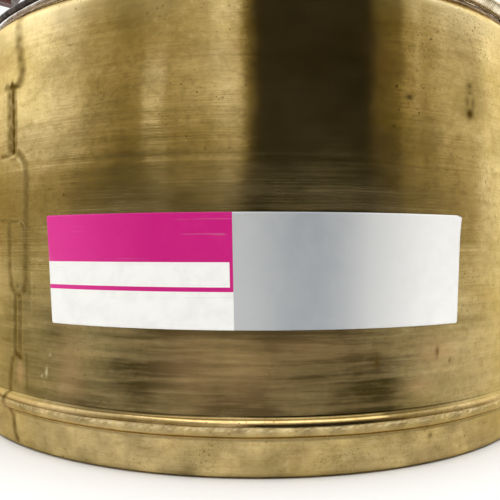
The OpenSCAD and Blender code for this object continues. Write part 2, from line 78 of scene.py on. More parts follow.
# ------------------------------------------------------------------ material helpers
class Mat:
    def __init__(self, name):
        self.m = bpy.data.materials.new(name)
        self.m.use_nodes = True
        self.t = self.m.node_tree
        self.t.nodes.clear()
        self.out = self.t.nodes.new("ShaderNodeOutputMaterial")
        self.b = self.t.nodes.new("ShaderNodeBsdfPrincipled")
        self.t.links.new(self.b.outputs[0], self.out.inputs[0])
        self.co = self.t.nodes.new("ShaderNodeTexCoord").outputs["Object"]

    def put(self, socket, v):
        s = socket if not isinstance(socket, str) else self.b.inputs[socket]
        if isinstance(v, bpy.types.NodeSocket):
            self.t.links.new(v, s)
        else:
            s.default_value = v

    def scaled(self, sx, sy, sz, co=None):
        n = self.t.nodes.new("ShaderNodeVectorMath")
        n.operation = "MULTIPLY"
        self.put(n.inputs[0], co or self.co)
        n.inputs[1].default_value = (sx, sy, sz)
        return n.outputs[0]

    def noise(self, scale, detail=4.0, rough=0.55, co=None, distort=0.0):
        n = self.t.nodes.new("ShaderNodeTexNoise")
        self.put(n.inputs["Vector"], co or self.co)
        n.inputs["Scale"].default_value = scale
        n.inputs["Detail"].default_value = detail
        n.inputs["Roughness"].default_value = rough
        n.inputs["Distortion"].default_value = distort
        return n.outputs[0]

    def voronoi(self, scale, co=None):
        n = self.t.nodes.new("ShaderNodeTexVoronoi")
        self.put(n.inputs["Vector"], co or self.co)
        n.inputs["Scale"].default_value = scale
        return n.outputs["Distance"]

    def math(self, op, a, b=0.0, clamp=False):
        n = self.t.nodes.new("ShaderNodeMath")
        n.operation = op
        n.use_clamp = clamp
        self.put(n.inputs[0], a)
        self.put(n.inputs[1], b)
        return n.outputs[0]

    def span(self, v, lo, hi, a=0.0, b=1.0):
        n = self.t.nodes.new("ShaderNodeMapRange")
        n.interpolation_type = "SMOOTHSTEP"
        self.put(n.inputs[0], v)
        for i, x in enumerate((lo, hi, a, b)):
            self.put(n.inputs[i + 1], x)
        return n.outputs[0]

    def mix(self, f, a, b):
        n = self.t.nodes.new("ShaderNodeMix")
        n.data_type = "RGBA"
        self.put(n.inputs[0], f)
        for i, v in ((6, a), (7, b)):
            self.put(n.inputs[i], v if isinstance(v, bpy.types.NodeSocket) else (*v, 1))
        return n.outputs[2]

    def attr(self, name):
        n = self.t.nodes.new("ShaderNodeAttribute")
        n.attribute_name = name
        return n.outputs["Fac"]

    def bump(self, h, strength, dist, normal=None):
        n = self.t.nodes.new("ShaderNodeBump")
        n.inputs["Strength"].default_value = strength
        n.inputs["Distance"].default_value = dist
        self.put(n.inputs["Height"], h)
        if normal is not None:
            self.put(n.inputs["Normal"], normal)
        return n.outputs[0]

    def axis(self, i, co=None):
        n = self.t.nodes.new("ShaderNodeSeparateXYZ")
        self.put(n.inputs[0], co or self.co)
        return n.outputs[i]


def metal(name, light, dark, rough=(0.25, 0.45), scale=90, streak=1.0, bump=0.15, pits=0.3, spot=(0.08, 0.05, 0.02)):
    m = Mat(name)
    co = m.scaled(1, 1, streak)
    big = m.noise(scale, 6, 0.6, co)
    fine = m.noise(scale * 14, 3, 0.6, co)
    c = m.mix(m.span(big, 0.35, 0.68), light, dark)
    sp = m.span(m.noise(scale * 4.5, 2, 0.5), 0.66, 0.76)
    c = m.mix(m.math("MULTIPLY", sp, pits), c, spot)
    m.put("Base Color", c)
    m.put("Metallic", 1.0)
    m.put("Roughness", m.span(m.math("ADD", m.math("MULTIPLY", big, 0.6), m.math("MULTIPLY", fine, 0.4)), 0.3, 0.7, rough[0], rough[1]))
    m.put("Normal", m.bump(fine, bump, 0.0001))
    return m.m


# ------------------------------------------------------------------ tank wall material
def wall_material():
    m = Mat("brass_wall_patina_and_painted_light")
    bands = m.noise(1.0, 5, 0.65, m.scaled(9, 9, 800))
    broad = m.noise(1.0, 5, 0.6, m.scaled(24, 24, 60))
    cloud = m.noise(1.0, 6, 0.62, m.scaled(80, 80, 130), 0.4)
    grain = m.noise(1.0, 3, 0.6, m.scaled(600, 600, 2400))
    mott = m.noise(1.0, 4, 0.7, m.scaled(420, 420, 520), 0.3)
    gold, olive, brown = (0.76, 0.585, 0.27), (0.55, 0.41, 0.15), (0.50, 0.33, 0.14)
    c = m.mix(m.span(broad, 0.38, 0.66), gold, olive)
    c = m.mix(m.math("MULTIPLY", m.span(cloud, 0.5, 0.72), 0.45), c, brown)
    c = m.mix(m.math("MULTIPLY", m.span(bands, 0.45, 0.75), 0.28), c, (0.36, 0.26, 0.09))
    c = m.mix(m.math("MULTIPLY", m.span(mott, 0.46, 0.66), 0.34), c, (0.33, 0.23, 0.08))
    c = m.mix(m.math("MULTIPLY", m.span(mott, 0.44, 0.30), 0.26), c, (0.95, 0.80, 0.46))
    hair = m.noise(1.0, 3, 0.7, m.scaled(160, 160, 2600))
    c = m.mix(m.math("MULTIPLY", m.span(hair, 0.52, 0.70), 0.38), c, (0.36, 0.25, 0.08))
    streak = m.noise(1.0, 5, 0.65, m.scaled(28, 28, 430), 0.2)
    lay = m.math("ADD", m.math("MULTIPLY", streak, 0.65), m.math("MULTIPLY", cloud, 0.35))
    # painted shade: where the tarnish field is set the colour goes to near-black brown, partly tarnish and partly a
    # painted dark reflection of the space in front of the tank
    shade = m.math("MULTIPLY", m.attr("tarnish_and_painted_shade"), m.span(lay, 0.36, 0.64, 1.12, 0.90), True)
    c = m.mix(shade, c, m.mix(m.span(streak, 0.4, 0.6), (0.040, 0.029, 0.008), (0.066, 0.046, 0.018)))
    c = m.mix(m.math("MULTIPLY", m.attr("warm"), 1.0, True), c, (0.47, 0.29, 0.135))
    # painted highlights: the bright field turns the colour pale gold along the bead's crest, the shoulder's crease and
    # the top of the wall, besides a few bright specks
    c = m.mix(m.math("MULTIPLY", m.attr("bright"), 1.0, True), c, (0.96, 0.84, 0.52))
    c = m.mix(m.math("MULTIPLY", m.attr("dark"), 1.45, True), c, (0.075, 0.042, 0.006))
    keep = m.span(m.noise(1.0, 3, 0.6, m.scaled(55, 55, 70)), 0.42, 0.60)
    keep = m.math("MAXIMUM", keep, m.attr("pitted"))
    for scale, amount in ((300, 0.7), (520, 0.85), (760, 0.85), (1100, 0.7)):
        speck = m.span(m.voronoi(scale), 0.13, 0.05)
        c = m.mix(m.math("MULTIPLY", m.math("MULTIPLY", speck, keep), amount), c, (0.12, 0.075, 0.02))
    pit = m.math("MAXIMUM", m.span(m.voronoi(850), 0.30, 0.16), m.span(m.voronoi(1500), 0.32, 0.18))
    c = m.mix(m.math("MULTIPLY", m.math("MULTIPLY", pit, m.attr("pitted")), 0.62), c, (0.13, 0.085, 0.025))
    m.put("Base Color", c)
    m.put("Metallic", 1.0)
    m.put("Specular Tint", (0.93, 0.80, 0.56, 1))
    r = m.math("ADD", m.math("MULTIPLY", cloud, 0.09), m.math("MULTIPLY", mott, 0.06))
    r = m.math("ADD", r, m.math("MULTIPLY", m.attr("dark"), 0.12))
    r = m.math("ADD", r, m.math("MULTIPLY", m.attr("tarnish_and_painted_shade"), 0.07))
    m.put("Roughness", m.math("ADD", m.math("MULTIPLY", r, 0.85), 0.045, True))
    m.put("Anisotropic", 0.92)
    m.put("Anisotropic Rotation", 0.25)
    tan = m.t.nodes.new("ShaderNodeTangent")
    tan.direction_type = "RADIAL"
    tan.axis = "Z"
    m.put("Tangent", tan.outputs[0])
    h = m.math("ADD", m.math("MULTIPLY", bands, 1.0), m.math("MULTIPLY", grain, 0.22))
    h = m.math("ADD", h, m.math("MULTIPLY", mott, 0.20))
    m.put("Normal", m.bump(h, 0.32, 0.00009))
    return m.m


# ------------------------------------------------------------------ meshes
def new_mesh(name, v, f, mat, body, smooth=True):
    me = bpy.data.meshes.new(name)
    me.from_pydata([tuple(p) for p in v], [], [tuple(q) for q in f])
    me.update()
    me.polygons.foreach_set("use_smooth", [smooth] * len(me.polygons))
    me.materials.append(mat)
    ob = bpy.data.objects.new(name, me)
    scene.collection.objects.link(ob)
    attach(ob, body)
    return ob


def arc(cx, cy, r, a0, a1, n):
    return [(cx + r * math.cos(math.radians(a0 + (a1 - a0) * i / n)), cy + r * math.sin(math.radians(a0 + (a1 - a0) * i / n))) for i in range(n + 1)]


def wave_field(s, z, n, lo, hi, seed):
    """Smooth sum of sines over arc length s and height z, in mm, with wavelengths lo to hi."""
    g = np.random.default_rng(seed)
    out = np.zeros_like(s)
    for _ in range(n):
        # a whole number of waves round the tank, so that the field closes at the back
        k = round(2 * math.pi * 90 / g.uniform(lo, hi)) / 90
        kz = 2 * math.pi / g.uniform(lo, hi) * g.choice([-1, 1])
        out += np.sin(k * s + kz * z + g.uniform(0, 6.28))
    return out / math.sqrt(n)


def seam_paths():
    """Lines of the locked seam, traced as places in the frame: half width in mm, how dark, and the points."""
    P = [
        (0.95, 0.40, [(17.5, 12), (18.6, 20), (18.4, 40)]),
        (0.95, 0.60, [(18.4, 40), (20.2, 52), (21.6, 62), (22.2, 71), (21.5, 80), (18.8, 86.5)]),
        (0.85, 0.85, [(18.0, 86), (14.0, 87.5), (10, 88), (7, 88)]),
        (0.55, 0.90, [(12.6, 88), (12.9, 100), (13.2, 120), (13.3, 153)]),
        (1.0, 0.60, [(10.0, 93), (10.2, 120), (10.6, 151)]),
        (0.45, 0.52, [(15.2, 90), (15.6, 110), (15.8, 130), (15.4, 152)]),
        (0.50, 0.62, [(2, 158), (8, 156.5), (14, 153.5)]),
        (0.62, 0.46, [(14, 153.5), (18, 154), (21.8, 158.5), (24.9, 166), (26.1, 178), (26.1, 209), (25.7, 221), (25.2, 230), (25.6, 255), (25.7, 278), (24.0, 289), (19.5, 293.5)]),
        (0.30, 0.55, [(2, 221), (8, 221), (15, 221), (20.3, 222.5), (24.6, 227)]),
        (0.55, 0.46, [(9.2, 224), (9.6, 240), (10.2, 268), (11.8, 284), (15.2, 292), (18.5, 293.5)]),
        (0.42, 0.60, [(15.9, 293), (15.7, 320), (15.9, 353)]),
        (0.42, 0.42, [(20.6, 293), (20.8, 320), (20.6, 353)]),
        (0.80, 0.22, [(18.3, 293), (18.3, 353)]),
        (0.45, 0.55, [(2, 338), (8, 339.5), (14.5, 343)]),
        (0.60, 0.95, [(17.6, 353.5), (20.3, 357)]),
        (0.50, 0.62, [(17.5, 353), (14.0, 356.5), (11.9, 362.5), (11.1, 378), (10.4, 388), (9.3, 398), (9.8, 408), (13.6, 416), (14.8, 430), (17.8, 440)]),
        (0.30, 0.32, [(27.2, 354), (27.3, 388)]),
        (0.22, 0.25, [(24, 349.5), (45, 350), (66, 349)]),
    ]
    out = []
    for w, k, pts in P:
        q = []
        for (x0, y0), (x1, y1) in zip(pts[:-1], pts[1:]):
            n = max(2, int(math.hypot(x1 - x0, y1 - y0) / 2))
            for i in range(n):
                q.append(on_wall(x0 + (x1 - x0) * i / n, y0 + (y1 - y0) * i / n))
        q.append(on_wall(*pts[-1]))
        # the seam is seen at a slant, so that a line is twice as wide along the wall as it is high
        out.append((w, k, np.array([(45 * t, z) for t, z in q])))
    return out


def near_line(s, z, line):
    """Distance in mm from each point to a polyline."""
    best = np.full(s.shape, 1e9)
    for (ax, ay), (bx, by) in zip(line[:-1], line[1:]):
        dx, dy = bx - ax, by - ay
        L = dx * dx + dy * dy + 1e-12
        t = np.clip(((s - ax) * dx + (z - ay) * dy) / L, 0, 1)
        best = np.minimum(best, np.hypot(s - ax - t * dx, z - ay - t * dy))
    return best


def build_shell():
    R, BZ, BO, WH, SR = 90.0, 10.7, 1.6, 103.9, 4.0
    prof = [(87.9, 0.0), (88.5, 0.0), (89.1, 0.0), (89.45, 0.12), (89.7, 0.3), (89.88, 0.6), (90, 1.0)]
    prof += [(R, z) for z in np.linspace(1.5, BZ - 2.6, 14)]
    prof += [(R + 0.06, BZ - 2.25)] + [(R + 0.1 + (BO - 0.1) * math.cos(math.radians(a)), BZ + 2.0 * math.sin(math.radians(a))) for a in range(-75, 76, 10)] + [(R + 0.06, BZ + 2.25)]
    prof += [(R, z) for z in np.arange(BZ + 2.6, WH - 0.2, 0.52)]
    prof += [(R, WH)] + arc(R - SR, WH, SR, 4, 75, 20)
    n_out = len(prof)
    prof += arc(R - SR, WH, SR - 1, 75, 5, 8) + [(R - 1, WH), (R - 1, 80), (R - 1, 50), (R - 1, 20), (R - 1, 2.9), (88.0, 2.4), (87.6, 1.4)]
    prof = np.array(prof)
    fine = np.arange(-46, -33, 0.13)
    th = np.concatenate([np.arange(-180, -46, 0.75), fine, np.arange(-33, 60, 0.42), np.arange(60, 180, 0.8)])
    T = np.radians(th)
    n, k = len(prof), len(T)
    d = np.roll(prof, -1, 0) - np.roll(prof, 1, 0)
    nrm = np.stack([d[:, 1], -d[:, 0]], 1)
    nrm /= np.linalg.norm(nrm, axis=1)[:, None]
    S, Z = np.meshgrid(90 * T, prof[:, 1], indexing="xy")
    outer = (np.arange(n) < n_out)[:, None] * np.ones((1, k))
    wall = np.clip((Z - 1.0) / 3, 0, 1) * np.clip((107.0 - Z) / 4, 0, 1) * outer
    D = 0.040 * wave_field(S, Z, 16, 22, 70, 3) * wall
    D += 0.006 * wave_field(S, Z, 16, 7, 16, 4) * wall
    zz = prof[:, 1]
    rib = sum(a * np.sin(2 * math.pi * zz / L + p) for a, L, p in ((1, 4.1, 0.3), (0.8, 2.9, 1.2), (0.7, 6.3, 2.5)))
    D += 0.0035 * rib[:, None] * wall
    dark = np.zeros_like(S)
    warm = np.zeros_like(S)
    bright = np.zeros_like(S)
    tarnish_and_painted_shade = np.zeros_like(S)
    zone = np.abs(th + 39.5) < 7.5
    for w, tone, line in seam_paths():
        q = near_line(S[:, zone] / 2, Z[:, zone], line)
        g = np.exp(-(q / w) ** 4)
        rough = 0.80 + 0.20 * np.sin(Z[:, zone] * 1.9 + w * 9) * np.sin(Z[:, zone] * 0.53 + S[:, zone])
        dark[:, zone] = np.maximum(dark[:, zone], np.exp(-(q / w) ** 2.6) * rough * tone)
        D[:, zone] += (-0.09 * tone * g + 0.02 * np.exp(-((q - w * 1.6) / 0.4) ** 2)) * outer[:, zone]

    def spot(field, px, py, rx, ry, a, tilt=0.0, hard=2.0):
        t, z = on_wall(px, py)
        u, v = S - 90 * t, Z - z
        c, s_ = math.cos(tilt), math.sin(tilt)
        q = ((u * c + v * s_) / rx) ** 2 + ((-u * s_ + v * c) / ry) ** 2
        np.maximum(field, a * np.exp(-q ** (hard / 2)), out=field)

    # stains, drips and specks
    for a in ((12.5, 85, 0.9, 0.8, 1.0), (19.5, 355.6, 0.9, 0.5, 0.9), (377, 362, 0.5, 1.3, 0.65), (437, 352, 0.5, 1.2, 0.6), (450, 360, 0.4, 0.5, 0.6),
              (430, 435, 0.7, 0.6, 0.6), (469.5, 86, 1.0, 0.6, 0.6), (470, 93, 0.9, 0.5, 0.45), (467.5, 102, 0.8, 1.3, 0.42), (473, 104, 0.8, 1.5, 0.42), (470, 114, 1.5, 1.3, 0.78), (409.5, 97, 0.9, 0.5, 0.75), (437, 32, 0.25, 0.3, 0.6), (431, 39, 0.3, 0.3, 0.7),
              (375, 345, 0.3, 0.3, 0.5), (104, 399, 0.5, 0.12, 0.6), (104, 405, 0.5, 0.12, 0.6), (101, 402, 0.12, 0.5, 0.6), (107, 402, 0.12, 0.5, 0.6), (329, 188, 0.3, 0.3, 0.4)):
        spot(dark, *a)
    for a in ((70, 372, 4, 7.5, 0.30), (196, 368, 9, 10, 0.24), (240, 372, 11, 9, 0.22), (383, 65, 3.2, 4.5, 0.45), (399, 30, 1.2, 9, 0.30), (420, 385, 4, 2.0, 0.3), (11, 405, 1.6, 1.8, 0.7), (20, 372, 1.8, 3.2, 0.45), (440, 352, 5, 3.5, 0.3), (300, 350, 16, 3, 0.2)):
        spot(warm, *a)
    for a in ((19, 223, 0.35, 0.3, 0.9), (25, 228, 0.35, 0.4, 1.0), (13, 84, 0.3, 0.35, 0.8), (47, 372, 0.18, 1.0, 0.6), (50, 354, 0.3, 0.2, 0.7), (42, 375, 0.25, 0.2, 0.6)):
        spot(bright, *a)
    # painted highlight: short bright speckles along the crest of the bead
    crest = np.exp(-((Z - BZ - 0.05) / 0.45) ** 2) * outer
    fine_n = rng.random(S.shape) * 0.6 + 0.4 * rng.random(S.shape)[:, ::-1]
    bright = np.maximum(bright, 0.50 * crest * np.clip(fine_n * 2.0 - 0.75, 0, 1))
    # painted highlight along the crease where the shoulder starts, and the shoulder above it is speckled
    patch = np.clip(0.6 + 0.5 * wave_field(S, Z * 0 + 1, 10, 6, 30, 41), 0.15, 1)
    bright = np.maximum(bright, np.interp(np.degrees(S / 90), [20, 40, 60, 80], [0.55, 0.9, 0.9, 0.55]) * np.exp(-((Z - 104.9) / 0.5) ** 2) * patch * (0.6 + 0.4 * fine_n) * outer)
    warm = np.maximum(warm, 0.30 * np.exp(-((Z - BZ - 1.0) / 0.75) ** 2) * (0.75 + 0.5 * fine_n) * outer)
    # painted reflection: the top of the wall just below the shoulder is lightened, away from the front
    bright = np.maximum(bright, 0.30 * np.clip((Z - 97.5) / 5.5, 0, 1) * np.interp(np.abs(np.degrees(S / 90)), [8, 16], [0.2, 1]) * outer * (Z < 105.4))
    sh = np.clip((Z - 105.2) / 0.5, 0, 1) * np.clip((107.9 - Z) / 0.4, 0, 1) * outer
    dark = np.maximum(dark, 0.42 * sh * np.clip(fine_n * 1.6 - 0.35, 0, 1))
    warm = np.maximum(warm, 0.35 * sh)
    # painted shade, together with tarnish: darkest between the sticker and the bead, where it stands for the dark
    # reflection of the space in front of the tank; lighter at the right and on the skirt
    TH = np.degrees(S / 90)
    side = np.interp(TH, [-180, -120, -60, -36, -22, -16, 0, 14, 18, 24, 32, 39, 46, 90, 140, 180], [0.62, 0.5, 0.68, 0.74, 0.82, 0.87, 0.95, 0.98, 0.92, 0.74, 0.56, 0.44, 0.34, 0.35, 0.5, 0.62])
    low = np.clip((57 + 5 * wave_field(S, Z * 0, 12, 25, 120, 27) * (np.abs(TH - 2) > 38) - Z) / 25, 0, 1) * np.clip((Z - 12.4) / 0.8, 0, 1)
    blot = 1 + 0.06 * wave_field(S, Z, 30, 14, 50, 21)
    tarnish_and_painted_shade = np.maximum(tarnish_and_painted_shade, low * side * blot)
    tarnish_and_painted_shade = np.maximum(tarnish_and_painted_shade, 0.36 * np.clip((9.6 - Z) / 1.0, 0, 1) * (1 + 0.35 * wave_field(S, Z, 14, 6, 26, 23)))
    tarnish_and_painted_shade = np.maximum(tarnish_and_painted_shade, 0.5 * np.exp(-((Z - BZ) / 1.9) ** 2) * (1 + 0.3 * wave_field(S, Z * 0.3, 14, 5, 20, 25)))
    # painted shade: a dark line in the crease under the bead
    tarnish_and_painted_shade = np.maximum(tarnish_and_painted_shade, 0.80 * np.exp(-((Z - BZ + 2.45) / 0.28) ** 2))
    # painted shade over the lower front of the wall, strongest at the front below the sticker
    mid = np.interp(TH, [-180, -60, -30, -12, 0, 14, 22, 40, 90, 180], [0.25, 0.2, 0.22, 0.45, 0.62, 0.60, 0.35, 0.15, 0.2, 0.25]) * np.clip((76 - Z) / 22, 0, 1) * np.clip((Z - 12.4) / 0.8, 0, 1)
    mid += 0.30 * np.clip((63 - Z) / 5, 0, 1) * np.clip((Z - 12.4) / 0.8, 0, 1) * np.interp(TH, [-4, 1, 16, 24], [0, 1, 1, 0])
    tarnish_and_painted_shade = np.maximum(tarnish_and_painted_shade, mid)
    tarnish_and_painted_shade = np.maximum(tarnish_and_painted_shade, 0.20 * np.clip(wave_field(S, Z, 30, 12, 50, 24), 0, 1) * np.clip((Z - 12.4) / 0.8, 0, 1))
    for a in ((20, 143, 12, 5.5, 0.34), (11, 300, 3.5, 13, 0.36), (11, 240, 3, 5, 0.35)):
        spot(tarnish_and_painted_shade, *a)
    ends = np.interp(TH, [-46, -22, 22, 46], [0.35, 1, 1, 0.35])
    tarnish_and_painted_shade = np.maximum(tarnish_and_painted_shade, 0.46 * np.clip((Z - 106.3) / 0.7, 0, 1) * (0.7 + 0.6 * fine_n) * np.interp(TH, [25, 42], [1, 0.3]))
    # painted shade on the upper face of the bead and in the crease above it, weaker towards the sides
    tarnish_and_painted_shade = np.maximum(tarnish_and_painted_shade, 0.52 * ends * np.exp(-((Z - BZ - 1.15) / 0.6) ** 2))
    tarnish_and_painted_shade = np.maximum(tarnish_and_painted_shade, 0.86 * ends * np.exp(-((Z - BZ - 2.15) / 0.55) ** 2))
    tarnish_and_painted_shade = np.clip(tarnish_and_painted_shade, 0, 0.97) * outer
    # places where the wall is pitted
    pitted = np.zeros_like(S)
    for a in ((470, 25, 11, 6, 1.0), (487, 60, 7, 9, 0.8), (425, 40, 7, 8, 0.7), (60, 60, 8, 8, 0.5), (105, 100, 7, 5, 0.6), (210, 455, 6, 4, 1.0), (350, 455, 20, 4, 0.6), (440, 420, 14, 6, 0.8), (400, 370, 10, 8, 0.6), (150, 430, 12, 4, 0.6)):
        spot(pitted, *a)
    pitted *= np.clip(0.95 + 0.6 * wave_field(S, Z, 14, 5, 16, 61), 0, 1)
    # small dents in the skirt, and a few in the wall
    for px, py, w, h, a in ((200, 452, 2.6, 2.0, 0.35), (222, 453, 1.2, 1.4, 0.25), (208, 465, 1.5, 1.0, 0.22), (300, 140, 8, 5, 0.03), (440, 250, 4, 7, 0.05)):
        t, z = on_wall(px, py)
        D -= a * np.exp(-((S - 90 * t) / w) ** 2 - ((Z - z) / h) ** 2) * outer
    r = prof[:, 0][:, None] + nrm[:, 0][:, None] * D
    z = prof[:, 1][:, None] + nrm[:, 1][:, None] * D
    z = np.maximum(z, 0.0)
    # the widest turn of the bead stays within the drawn part
    r = np.minimum(r, 91.56)
    X = r * np.sin(T)[None, :] * MM
    Y = -r * np.cos(T)[None, :] * MM
    v = np.stack([X, Y, z * MM], 2).reshape(-1, 3)
    i, j = np.meshgrid(np.arange(n), np.arange(k), indexing="ij")
    i2, j2 = (i + 1) % n, (j + 1) % k
    f = np.stack([i * k + j, i * k + j2, i2 * k + j2, i2 * k + j], 2).reshape(-1, 4)
    ob = new_mesh("tank_wall", v, f, wall_material(), "tank")
    for name, a in (("dark", dark), ("warm", warm), ("bright", bright), ("tarnish_and_painted_shade", tarnish_and_painted_shade), ("pitted", pitted)):
        at = ob.data.attributes.new(name, "FLOAT", "POINT")
        at.data.foreach_set("value", np.clip(a, 0, 1).reshape(-1).astype(np.float32))
    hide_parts("tank_shell")
    return ob


def label_material():
    m = Mat("foil_sticker")
    uv = m.t.nodes.new("ShaderNodeUVMap")
    uv.uv_map = "face"
    u, v = m.axis(0, uv.outputs[0]), m.axis(1, uv.outputs[0])

    def inside(x, lo, hi):
        return m.math("MULTIPLY", m.math("GREATER_THAN", x, lo), m.math("LESS_THAN", x, hi))

    left = m.math("LESS_THAN", u, U_PANEL)
    block = m.math("MULTIPLY", left, m.math("GREATER_THAN", v, V_BLOCK))
    line = m.math("MULTIPLY", left, inside(v, V_LINE0, V_LINE1))
    post = m.math("MULTIPLY", inside(u, U_POST, U_PANEL), m.math("GREATER_THAN", v, V_LINE0))
    pink = m.math("MAXIMUM", m.math("MAXIMUM", block, line), post)
    wear = m.noise(260, 5, 0.6)
    fade = m.span(u, 0.0, 0.3)
    magenta = m.mix(fade, (0.72, 0.03, 0.29), (0.575, 0.006, 0.205))
    magenta = m.mix(m.math("MULTIPLY", m.span(wear, 0.45, 0.75), 0.12), magenta, (0.72, 0.05, 0.28))
    paper = m.mix(m.span(wear, 0.4, 0.7), (0.93, 0.94, 0.93), (0.87, 0.88, 0.87))
    # painted reflection on the silver foil: a darker band across the middle and lighter towards the right
    painted_foil_reflection = m.math("MULTIPLY", m.span(u, 0.46, 0.60), m.span(u, 0.76, 0.62))
    foil = m.mix(painted_foil_reflection, m.mix(m.span(u, 0.64, 0.96), (0.50, 0.52, 0.54), (0.93, 0.93, 0.93)), (0.36, 0.385, 0.42))
    foil = m.mix(m.math("MULTIPLY", m.span(wear, 0.35, 0.7), 0.12), foil, (0.60, 0.60, 0.60))
    c = m.mix(left, foil, paper)
    c = m.mix(pink, c, magenta)
    scr = m.span(m.noise(1.0, 2, 0.5, m.scaled(60, 60, 2400), 0.5), 0.68, 0.74)
    c = m.mix(m.math("MULTIPLY", scr, 0.18), c, (0.45, 0.45, 0.47))
    stain = m.span(m.noise(45, 4, 0.5), 0.60, 0.78)
    c = m.mix(m.math("MULTIPLY", stain, 0.18), c, (0.62, 0.58, 0.47))
    m.put("Base Color", c)
    m.put("Metallic", m.math("MULTIPLY", m.math("SUBTRACT", 1.0, left), 0.15))
    m.put("Specular IOR Level", 0.22)
    m.put("Roughness", m.span(wear, 0.3, 0.7, 0.30, 0.42))
    m.put("Normal", m.bump(m.math("ADD", m.noise(120, 3), m.math("MULTIPLY", scr, 0.2)), 0.12, 0.0002))
    return m.m


# label corners in the frame, and the limits of its printed areas
LT, RT, LB, RB = (47, 216), (460.3, 216.5), (52.6, 323.6), (456.6, 323.0)
C = [on_wall(*p, r=90.15) for p in (LT, RT, LB, RB)]
Z0, Z1 = 31.35, 56.35
U_PANEL = (on_wall(232, 250)[0] - C[0][0]) / (C[1][0] - C[0][0])
U_POST = (on_wall(228.5, 250)[0] - C[0][0]) / (C[1][0] - C[0][0])
V_BLOCK = (on_wall(140, 262)[1] - Z0) / (Z1 - Z0)
V_LINE1 = (on_wall(140, 286.5)[1] - Z0) / (Z1 - Z0)
V_LINE0 = (on_wall(140, 291)[1] - Z0) / (Z1 - Z0)


def build_label():
    nu, nv = 260, 64
    us, vs = np.linspace(0, 1, nu), np.linspace(0, 1, nv)
    U, V = np.meshgrid(us, vs)
    left = C[2][0] + (C[0][0] - C[2][0]) * V
    right = C[3][0] + (C[1][0] - C[3][0]) * V
    # round the corners a little by pulling the ends of each row in
    edge = 0.3 / 25
    q = np.clip(1 - np.minimum(V, 1 - V) / edge, 0, 1)
    pull = (1 - np.sqrt(1 - q ** 2)) * 0.3 / 90
    left, right = left + pull, right - pull
    T = left + (right - left) * U
    z = Z0 + (Z1 - Z0) * V
    s = T * 90
    lift = 0.012 * wave_field(s, z, 10, 9, 30, 31)
    # the upper right corner stands off a little, and its tip is nicked
    ds, dz = (C[1][0] * 90 - s), (Z1 - z)
    lift += 0.42 * np.clip(1 - (ds + dz) / 5.5, 0, 1) ** 1.8
    lift += 0.10 * np.clip(1 - ds / 2.0, 0, 1) ** 2 + 0.05 * np.clip(1 - (s - C[0][0] * 90) / 1.5, 0, 1) ** 2
    z = z - 0.5 * np.clip(1 - (ds + dz * 2) / 1.6, 0, 1)
    verts, faces = [], []
    for base in (90.22, 90.10):
        r = base + np.maximum(lift, -0.01)
        verts.append(np.stack([r * np.sin(T), -r * np.cos(T), z], 2).reshape(-1, 3) * MM)
    v = np.concatenate(verts)
    N = nu * nv
    for a in range(nv - 1):
        for b in range(nu - 1):
            p = a * nu + b
            faces.append((p, p + 1, p + nu + 1, p + nu))
            faces.append((N + p, N + p + nu, N + p + nu + 1, N + p + 1))
    rim = [b for b in range(nu)] + [a * nu + nu - 1 for a in range(1, nv)] + [(nv - 1) * nu + b for b in range(nu - 2, -1, -1)] + [a * nu for a in range(nv - 2, 0, -1)]
    for p, q_ in zip(rim, rim[1:] + rim[:1]):
        faces.append((p, N + p, N + q_, q_))
    ob = new_mesh("sticker", v, faces, label_material(), "tank")
    uv = ob.data.uv_layers.new(name="face")
    uu, vv = np.tile(U.reshape(-1), 2), np.tile(V.reshape(-1), 2)
    idx = np.zeros(len(ob.data.loops), dtype=np.int32)
    ob.data.loops.foreach_get("vertex_index", idx)
    uv.data.foreach_set("uv", np.stack([uu[idx], vv[idx]], 1).reshape(-1))
    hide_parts("side_label")
    return ob


def bail_curve(ph):
    """Points along the bail's wire, and the two directions across it; ph runs from one ear to the other."""
    piv = np.array([0, 0, 109.45])
    t = math.radians(1.05)
    d0 = np.array([math.sin(math.radians(30)), -math.cos(math.radians(30)), 0])
    g = d0 * math.cos(t) + np.array([0, 0, 1]) * math.sin(t)
    a = np.array([math.cos(math.radians(30)), math.sin(math.radians(30)), 0])
    n = np.cross(g, a)
    n = n if n[2] > 0 else -n
    rad = np.cos(ph)[:, None] * g + np.sin(ph)[:, None] * a
    th = 30 + np.degrees(ph)
    # bent by hand: a dip at the left, and the grip lies down on the rim
    q = np.clip((th + 14) / 34, 0, 1) * np.clip((88 - th) / 24, 0, 1)
    dz = -0.42 * np.exp(-((th + 39) / 9.0) ** 2) - 0.84 * q * q * (3 - 2 * q)
    return piv + 88.5 * rad + n * dz[:, None], rad, n


def sweep(name, c, across, up, rr, m, mat, body):
    """A closed round rod along the points c, with radius rr for each point and direction."""
    n = len(c)
    tan = np.gradient(c, axis=0)
    tan /= np.linalg.norm(tan, axis=1)[:, None]
    e1 = across - (across * tan).sum(1)[:, None] * tan
    e1 /= np.linalg.norm(e1, axis=1)[:, None]
    e2 = np.cross(tan, e1)
    ang = 2 * math.pi * np.arange(m) / m
    v = (c[:, None, :] + rr[:, :, None] * (np.cos(ang)[None, :, None] * e1[:, None, :] + np.sin(ang)[None, :, None] * e2[:, None, :])).reshape(-1, 3) * MM
    i, k = np.meshgrid(np.arange(n - 1), np.arange(m), indexing="ij")
    k2 = (k + 1) % m
    f = np.stack([i * m + k, (i + 1) * m + k, (i + 1) * m + k2, i * m + k2], 2).reshape(-1, 4).tolist()
    f.append(list(range(m - 1, -1, -1)))
    f.append([(n - 1) * m + q for q in range(m)])
    return new_mesh(name, v, f, mat, body)


